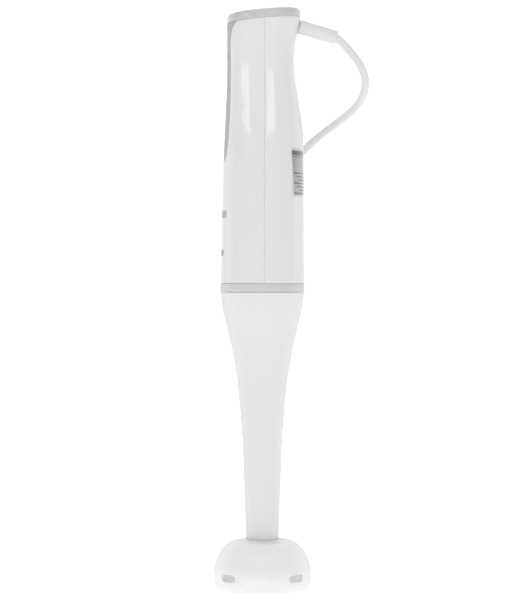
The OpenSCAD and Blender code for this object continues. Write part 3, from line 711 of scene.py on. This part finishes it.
WAND_FOOT, WAND_OUTSIDE_H, WAND_TOP, WAND_TOP_R, WAND_ROUND = 32, 159.2, 191.9, 27.3, 0.5
WAND_WALL, WAND_BORE_R = 2.2, 7.8
WAND_SPIGOT = [(21.1, 191.9, 0), (21.1, 205.5, 0.5), (18.9, 205.5, 0.5), (18.9, 187.5, 0)]
WAND_INSIDE_TOP = 187.5

outside = [WAND_FOOT + WAND_OUTSIDE_H * k / 110 for k in range(111)]
wand_loop = [(curve(WAND, z), z) for z in outside]
wand_loop += [(WAND_TOP_R - i, WAND_TOP - d) for d, i in reversed(round_steps(WAND_ROUND, 4))]
wand_loop += rounded(WAND_SPIGOT, 3)
wand_loop += [(curve(WAND, WAND_INSIDE_TOP) - WAND_WALL, WAND_INSIDE_TOP)]
wand_loop += [(max(curve(WAND, z) - WAND_WALL, WAND_BORE_R), z)
              for z in (180, 170, 160, 150, 140, 130, 120, 110, 100, 80, 60, 32)]
wand = turned("wand_shaft", wand_loop)

# Bayonet lugs, each 20 degrees wide
LUG_SECTION = ((20.6, 200.2), (23.0, 200.2), (23.0, 203.8), (20.6, 203.8))
lug_points, lug_faces = [], []
for i in range(3):
    start = len(lug_points)
    for k in range(13):
        a = math.radians(120 * i - 10 + 20 * k / 12)
        lug_points += [(r * math.cos(a), r * math.sin(a), z) for r, z in LUG_SECTION]
    lug_faces += [tuple(start + q for q in f) for f in loops_to_faces(13, 4, "fan")]
lugs = new_mesh("wand_lugs", lug_points, lug_faces, 30)
place(wand, "wand", "white_wand", "wand_tube")
place(lugs, "wand", "white_wand")

# The dome inside the guard is a quarter ellipse, from height WIDE_Z to radius DOME_IN_R
WIDE_Z, GUARD_TOP, GUARD_WALL, DOME_IN_R, DOME_R = 10, 31.2, 2.2, 15, 16.7
ARCH_H, ARCH_W = 8.3, 15.8
WINDOW_A, WINDOW_Z, WINDOW_W, WINDOW_H, WINDOW_ROUND = 44, 9.2, 12.2, 4.8, 2.0
# The guard's loop, in parts: foot, shoulder, socket for the wand, and the inside near the foot
GUARD_FOOT = [(28.9, 0.0), (29.2, 0.06), (29.5, 0.25), (29.95, 0.9), (30.4, 2.0), (30.85, 3.4),
              (31.2, 5.0), (31.5, 6.8), (31.7, 8.4)]
SHOULDER = [(31.8, 10), (31.65, 11.8), (31.25, 14), (30.7, 16), (30, 18), (29.2, 20), (28.2, 22),
            (26.9, 24.3), (25.3, 26.4), (23.5, 28.1), (21.1, 29.6), (18.3, 30.7), (15, 31.2)]
GUARD_SOCKET = [(13.6, GUARD_TOP + 0.06), (12.6, GUARD_TOP + 0.16), (11.8, GUARD_TOP + 0.36),
                (11.1, 31.8), (10.75, 32), (5, 32), (5, 16), (8.0, 16), (8.4, 16.4),
                (8.4, GUARD_TOP - GUARD_WALL - 0.4)]
GUARD_INSIDE = [(29.5, 8.4), (29.3, 6.6), (29.0, 5.0), (28.7, 3.4), (28.1, 1.6), (27.4, 0.3),
                (27.5, 0.05), (27.8, 0.0)]


def guard_loop():
    shoulder = [(p[0], p[1]) for p in smooth_path([(r, z, 0) for r, z in SHOULDER], 0.9, 2)]
    dome = [(DOME_IN_R + (DOME_R - GUARD_WALL) * math.cos(a),
             WIDE_Z + (GUARD_TOP - WIDE_Z - GUARD_WALL) * math.sin(a))
            for a in np.linspace(0, math.pi / 2, 26)]
    return GUARD_FOOT + shoulder + GUARD_SOCKET + dome[::-1] + GUARD_INSIDE


def guard():
    """The bell, with an arch cut out of its foot on either side and four windows."""
    obj = turned("guard_bell", guard_loop(), 240)
    cut_points = []
    arch = [(ARCH_W * t, ARCH_H * math.cos(math.radians(90 * t))) for t in np.linspace(-1, 1, 61)]
    arch = [(ARCH_W + 0.6, -1.0)] + arch[::-1] + [(-ARCH_W - 0.6, -1.0)]
    for side in (1, -1):
        cut_points.append([[(side * x, y, z) for y, z in arch] for x in (20, 40)])
    window = box_outline(WINDOW_W, WINDOW_H, WINDOW_ROUND, 8)
    for a in (WINDOW_A, -WINDOW_A, 180 + WINDOW_A, 180 - WINDOW_A):
        turn = Matrix.Rotation(math.radians(a), 4, "Z")
        cut_points.append([[tuple(turn @ Vector((r, u, WINDOW_Z + v))) for u, v in window]
                           for r in (24, 36)])
    cutters = [rows_to_mesh("cutter", rows, "fan", 180) for rows in cut_points]
    for cutter in cutters:
        m = obj.modifiers.new("cut", "BOOLEAN")
        m.object, m.operation, m.solver = cutter, "DIFFERENCE", "EXACT"
    depsgraph = bpy.context.evaluated_depsgraph_get()
    mesh = bpy.data.meshes.new_from_object(obj.evaluated_get(depsgraph))
    for part in cutters + [obj]:
        bpy.data.objects.remove(part)
    return link_mesh("guard_bell", mesh, 32)


place(guard(), "wand", "white_wand", "blade_guard")

# ---- Materials, procedural throughout ----


def base_material(name):
    m = bpy.data.materials.new(name)
    m.use_nodes = True
    nodes, links = m.node_tree.nodes, m.node_tree.links
    return m, nodes, links, nodes["Principled BSDF"]


def ramp(nodes, stops):
    r = nodes.new("ShaderNodeValToRGB")
    r.color_ramp.elements[0].position, r.color_ramp.elements[0].color = stops[0]
    r.color_ramp.elements[1].position, r.color_ramp.elements[1].color = stops[-1]
    for at, colour in stops[1:-1]:
        r.color_ramp.elements.new(at).color = colour
    return r


def grey(v):
    return (v, v, v, 1)


PLASTIC_IOR, GRAIN_DEPTH, LINE_DEPTH, SUBSURFACE_DEPTH = 1.48, 0.0002, 0.0001, 0.006


def plastic(name, colour, roughness, spread, grain, bump, mottle, mottle_spread, coat=0.0,
            coat_roughness=0.1, subsurface=0.0, edge=0.0, rim=0.0):
    """Plastic with a fine grain in its gloss and relief and a faint drift in its colour.

    spread is how far the roughness varies, and mottle_spread the colour. grain and mottle are
    the scales of the two noises. edge is the radius of softly shaded edges, in metres, and rim
    how much painted shade darkens the colour where the surface turns away from the view.
    """
    m, nodes, links, b = base_material(name)
    at = nodes.new("ShaderNodeTexCoord")
    fine = nodes.new("ShaderNodeTexNoise")
    fine.inputs["Scale"].default_value = grain
    fine.inputs["Detail"].default_value = 3
    broad = nodes.new("ShaderNodeTexNoise")
    broad.inputs["Scale"].default_value = mottle
    links.new(at.outputs["Object"], fine.inputs["Vector"])
    links.new(at.outputs["Object"], broad.inputs["Vector"])
    r = ramp(nodes, [(0.3, grey(roughness - spread)), (0.7, grey(roughness + spread))])
    links.new(fine.outputs["Fac"], r.inputs["Fac"])
    links.new(r.outputs["Color"], b.inputs["Roughness"])
    lo = tuple(max(c - mottle_spread, 0) for c in colour)
    hi = tuple(min(c + mottle_spread, 1) for c in colour)
    c = ramp(nodes, [(0.35, (*lo, 1)), (0.65, (*hi, 1))])
    links.new(broad.outputs["Fac"], c.inputs["Fac"])
    # Painted shade: the colour is multiplied darker where the surface turns away from the view,
    # standing in for light falling off towards the sides
    if rim > 0:
        facing = nodes.new("ShaderNodeLayerWeight")
        facing.inputs["Blend"].default_value = 0.5
        shade = ramp(nodes, [(0.45, grey(1)), (0.75, grey(1 - 0.35 * rim)), (1.0, grey(1 - rim))])
        links.new(facing.outputs["Facing"], shade.inputs["Fac"])
        mix = nodes.new("ShaderNodeMix")
        mix.data_type, mix.blend_type = "RGBA", "MULTIPLY"
        mix.inputs[0].default_value = 1.0
        links.new(c.outputs["Color"], mix.inputs[6])
        links.new(shade.outputs["Color"], mix.inputs[7])
        links.new(mix.outputs[2], b.inputs["Base Color"])
    else:
        links.new(c.outputs["Color"], b.inputs["Base Color"])
    h = nodes.new("ShaderNodeBump")
    h.inputs["Strength"].default_value = bump
    h.inputs["Distance"].default_value = GRAIN_DEPTH
    links.new(fine.outputs["Fac"], h.inputs["Height"])
    links.new(h.outputs["Normal"], b.inputs["Normal"])
    if edge > 0:
        bevel = nodes.new("ShaderNodeBevel")
        bevel.inputs["Radius"].default_value = edge
        links.new(bevel.outputs["Normal"], h.inputs["Normal"])
    b.inputs["IOR"].default_value = PLASTIC_IOR
    b.inputs["Coat Weight"].default_value = coat
    b.inputs["Coat Roughness"].default_value = coat_roughness
    b.inputs["Subsurface Weight"].default_value = subsurface
    b.inputs["Subsurface Radius"].default_value = (1.0, 1.0, 1.0)
    b.inputs["Subsurface Scale"].default_value = SUBSURFACE_DEPTH
    return m


def metal(name, colour, roughness, stretch=(1, 1, 14), scale=260, bump=0.05):
    """Metal with fine lines, thin along the axis where stretch is largest."""
    m, nodes, links, b = base_material(name)
    at, to = nodes.new("ShaderNodeTexCoord"), nodes.new("ShaderNodeMapping")
    to.inputs["Scale"].default_value = stretch
    lines = nodes.new("ShaderNodeTexNoise")
    lines.inputs["Scale"].default_value = scale
    lines.inputs["Detail"].default_value = 5
    links.new(at.outputs["Object"], to.inputs["Vector"])
    links.new(to.outputs["Vector"], lines.inputs["Vector"])
    c = ramp(nodes, [(0.3, (*(0.88 * v for v in colour), 1)), (0.7, (*colour, 1))])
    r = ramp(nodes, [(0.3, grey(roughness - 0.05)), (0.7, grey(roughness + 0.07))])
    links.new(lines.outputs["Fac"], c.inputs["Fac"])
    links.new(lines.outputs["Fac"], r.inputs["Fac"])
    links.new(c.outputs["Color"], b.inputs["Base Color"])
    links.new(r.outputs["Color"], b.inputs["Roughness"])
    h = nodes.new("ShaderNodeBump")
    h.inputs["Strength"].default_value = bump
    h.inputs["Distance"].default_value = LINE_DEPTH
    links.new(lines.outputs["Fac"], h.inputs["Height"])
    links.new(h.outputs["Normal"], b.inputs["Normal"])
    b.inputs["Metallic"].default_value = 1.0
    return m


# rim sets how much painted shade each plastic gets where its surface turns away from the view
MATERIALS = {
    "white_shell": plastic("white_shell", (0.77, 0.77, 0.77), 0.34, 0.015, 1400, 0.004, 14, 0.004,
                           coat=0.7, coat_roughness=0.045, rim=0.4),
    "white_wand": plastic("white_wand", (0.82, 0.82, 0.82), 0.4, 0.02, 1200, 0.015, 16, 0.005,
                          coat=0.2, coat_roughness=0.2, subsurface=0.4, edge=0.0005, rim=0.3),
    "grey_trim": plastic("grey_trim", (0.55, 0.55, 0.555), 0.3, 0.03, 1800, 0.01, 30, 0.008,
                         coat=1.0, coat_roughness=0.06, rim=0.3),
    "grey_panel": plastic("grey_panel", (0.44, 0.44, 0.445), 0.45, 0.04, 2200, 0.08, 40, 0.008,
                          rim=0.2),
    "print": plastic("print", (0.4, 0.4, 0.41), 0.42, 0.04, 2600, 0.05, 200, 0.015),
    "lamination": metal("lamination", (0.34, 0.34, 0.36), 0.42, (0.2, 0.2, 30), 160),
    "copper": metal("copper", (0.66, 0.33, 0.17), 0.36, (1, 1, 9), 420, 0.2),
    "bronze": metal("bronze", (0.56, 0.4, 0.22), 0.48, (1, 1, 1), 900, 0.15),
    "steel": metal("steel", (0.62, 0.62, 0.64), 0.24, (1, 1, 12), 320),
    "carbon": plastic("carbon", (0.03, 0.03, 0.032), 0.6, 0.05, 1800, 0.2, 90, 0.006),
    "brass": metal("brass", (0.74, 0.58, 0.3), 0.26, (12, 1, 1), 300),
    "black_plastic": plastic("black_plastic", (0.035, 0.035, 0.038), 0.45, 0.05, 1300, 0.15, 60,
                             0.006),
    "rubber": plastic("rubber", (0.025, 0.025, 0.025), 0.7, 0.06, 900, 0.3, 60, 0.004),
    "board": plastic("board", (0.06, 0.22, 0.12), 0.4, 0.05, 700, 0.2, 300, 0.015),
    "capacitor": plastic("capacitor", (0.55, 0.4, 0.06), 0.35, 0.03, 900, 0.05, 60, 0.01),
    "natural_plastic": plastic("natural_plastic", (0.72, 0.72, 0.69), 0.42, 0.03, 1100, 0.05, 30,
                               0.01),
    "lead": plastic("lead", (0.2, 0.09, 0.045), 0.45, 0.04, 900, 0.08, 60, 0.008),
    "cord": plastic("cord", (0.74, 0.74, 0.74), 0.44, 0.03, 1500, 0.06, 40, 0.008),
}

# The label in object space, in metres: the field, the header and the line below it are
# (low edge, high edge); the plain bars are a low edge, a pitch, a height and a shortening
LABEL_HALF, BAR_HALF = 0.0176, 0.0172
LABEL_FIELD, LABEL_HEADER, LABEL_LINE = (0.254, 0.2833), (0.2798, 0.2825), (0.2786, 0.2792)
BARS, BAR_FOOT, BAR_PITCH, BAR_H, BAR_SHORTER = 7, 0.2549, 0.00215, 0.001, 0.0021
BORDER_TONE, FIELD_TONE, LINE_TONE, BAR_TONE = 0.62, 0.36, 0.17, 0.13


def label_material():
    """Printed film: a pale border, a mid-grey field, a dark header bar and plain bars."""
    m = plastic("label", (0.5, 0.5, 0.5), 0.3, 0.02, 2400, 0.01, 100, 0.01, coat=1.0)
    nodes, links = m.node_tree.nodes, m.node_tree.links
    b = nodes["Principled BSDF"]
    old = b.inputs["Base Color"].links[0].from_node
    at = next(n for n in nodes if n.type == "TEX_COORD")
    split = nodes.new("ShaderNodeSeparateXYZ")
    links.new(at.outputs["Object"], split.inputs["Vector"])

    def compare(operation, out, limit):
        node = nodes.new("ShaderNodeMath")
        node.operation = operation
        node.inputs[1].default_value = limit
        links.new(out, node.inputs[0])
        return node.outputs[0]

    def both(p, q):
        node = nodes.new("ShaderNodeMath")
        node.operation = "MULTIPLY"
        links.new(p, node.inputs[0])
        links.new(q, node.inputs[1])
        return node.outputs[0]

    def between(out, lo, hi):
        return both(compare("GREATER_THAN", out, lo), compare("LESS_THAN", out, hi))

    def over(under, tone, mask):
        node = nodes.new("ShaderNodeMix")
        node.data_type = "RGBA"
        links.new(mask, node.inputs[0])
        links.new(under, node.inputs[6])
        node.inputs[7].default_value = grey(tone)
        return node.outputs[2]

    z, x = split.outputs["Z"], split.outputs["X"]
    inside = between(x, -LABEL_HALF, LABEL_HALF)
    colour = over(old.outputs["Color"], BORDER_TONE, between(z, 0.2, 0.4))
    for tone, (low, high) in ((FIELD_TONE, LABEL_FIELD), (BAR_TONE, LABEL_HEADER),
                              (LINE_TONE, LABEL_LINE)):
        colour = over(colour, tone, both(between(z, low, high), inside))
    for k in range(BARS):
        low = BAR_FOOT + BAR_PITCH * k
        right = BAR_HALF - BAR_SHORTER * (k * 5 % 3)
        colour = over(colour, BAR_TONE,
                      both(between(z, low, low + BAR_H), between(x, -BAR_HALF, right)))
    links.new(colour, b.inputs["Base Color"])
    return m


MATERIALS["label"] = label_material()
# Pieces a shade apart from the others in their slot
BY_PIECE = {
    "guard_bell": plastic("white_guard", (0.9, 0.9, 0.9), 0.4, 0.02, 1200, 0.015, 16, 0.005,
                          coat=0.2, coat_roughness=0.2, subsurface=0.6, edge=0.0005, rim=0.4),
    "coupling_collar": plastic("grey_ring", (0.62, 0.62, 0.625), 0.32, 0.03, 1800, 0.02, 30, 0.008,
                               coat=0.4, rim=0.35),
    "speed_button_cap": plastic("grey_button", (0.5, 0.5, 0.505), 0.42, 0.04, 2200, 0.08, 40,
                                0.008),
}
BY_PIECE["turbo_button_cap"] = BY_PIECE["speed_button_cap"]

slots = {part["node"]: part["material_slot"] for part in frame["record"]["subparts"]}
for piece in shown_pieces():
    name = slots.get(piece.name) or piece.get("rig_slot")
    piece.data.materials.clear()
    piece.data.materials.append(BY_PIECE.get(piece.name) or MATERIALS[name])
    if "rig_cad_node" in piece:
        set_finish(piece, name)
        piece.data.shade_smooth()
        piece.data.set_sharp_from_angle(angle=math.radians(30))

# ---- Floor, backdrop and soft studio light ----

# The floor runs from FLOOR_FAR to BACK_X, then curves up into the backdrop
FLOOR_FAR, FLOOR_NEAR, BACK_X, BACK_R, BACK_H, FLOOR_HALF = 14.0, 2.2, -1.0, 0.6, 4.0, 14
backdrop = [(FLOOR_FAR, 0.0), (FLOOR_NEAR, 0.0), (BACK_X, 0.0)]
for k in range(1, 25):
    a = math.pi / 2 * k / 24
    backdrop.append((BACK_X - BACK_R * math.sin(a), BACK_R - BACK_R * math.cos(a)))
backdrop.append((BACK_X - BACK_R, BACK_H))
floor_mesh = bpy.data.meshes.new("floor")
floor_mesh.from_pydata([(x, y, z) for x, z in backdrop for y in (-FLOOR_HALF, FLOOR_HALF)], [],
                       [(2 * i, 2 * i + 1, 2 * i + 3, 2 * i + 2)
                        for i in range(len(backdrop) - 1)])
floor_mesh.shade_smooth()
floor = bpy.data.objects.new("floor", floor_mesh)
bpy.context.scene.collection.objects.link(floor)
floor_material = plastic("studio_floor", (0.8, 0.8, 0.8), 0.75, 0.03, 60, 0.01, 3, 0.003)
floor_glow = floor_material.node_tree.nodes["Principled BSDF"].inputs
floor_glow["Emission Color"].default_value = (1, 1, 1, 1)
floor_glow["Emission Strength"].default_value = 0.55
floor_mesh.materials.append(floor_material)

# Seen directly the surroundings are white; they light the blender with less
WORLD_LIGHT, WORLD_SEEN_EXTRA = 0.43, 0.6
world = bpy.data.worlds.new("studio")
world.use_nodes = True
world_nodes, world_links = world.node_tree.nodes, world.node_tree.links
background = world_nodes["Background"]
background.inputs["Color"].default_value = (1, 1, 1, 1)
sight = world_nodes.new("ShaderNodeLightPath")
strength = world_nodes.new("ShaderNodeMath")
strength.operation = "MULTIPLY_ADD"
strength.inputs[1].default_value = WORLD_SEEN_EXTRA
strength.inputs[2].default_value = WORLD_LIGHT
world_links.new(sight.outputs["Is Camera Ray"], strength.inputs[0])
world_links.new(strength.outputs[0], background.inputs["Strength"])
bpy.context.scene.world = world


def softbox(name, azimuth, height, distance, size, power, target=(0, 0, 0.19), roll=0):
    """Area light that the camera doesn't see. Angles in degrees, size (across, up) as it aims."""
    data = bpy.data.lights.new(name, "AREA")
    data.shape, data.size, data.size_y, data.energy = "RECTANGLE", size[0], size[1], power
    obj = bpy.data.objects.new(name, data)
    a = math.radians(azimuth)
    obj.location = (distance * math.cos(a), distance * math.sin(a), height)
    aim = (Vector(target) - obj.location).to_track_quat("-Z", "Y").to_matrix()
    obj.rotation_euler = (aim @ Matrix.Rotation(math.radians(roll), 3, "Z")).to_euler()
    obj.visible_camera = False
    bpy.context.scene.collection.objects.link(obj)


# The first two are for the streaks on the housing. The third is aimed at the cap, but forms no
# clear highlight there. The last two light the whole blender
softbox("streak_rear", 14, 0.43, 0.4, (0.13, 0.026), 0.044)
softbox("streak_front", -43, 0.4095, 0.4, (0.17, 0.012), 0.024, roll=3)
softbox("streak_cap", -36, 0.4305, 0.4, (0.05, 0.024), 0.03)
softbox("front", 0, 1.5, 1.3, (1.6, 0.8), 5.6)
softbox("top", 0, 1.9, 0.1, (2.2, 2.2), 8, (-0.1, 0, 0))

view = bpy.context.scene.view_settings
view.view_transform, view.look, view.exposure = "Standard", "None", 0.0
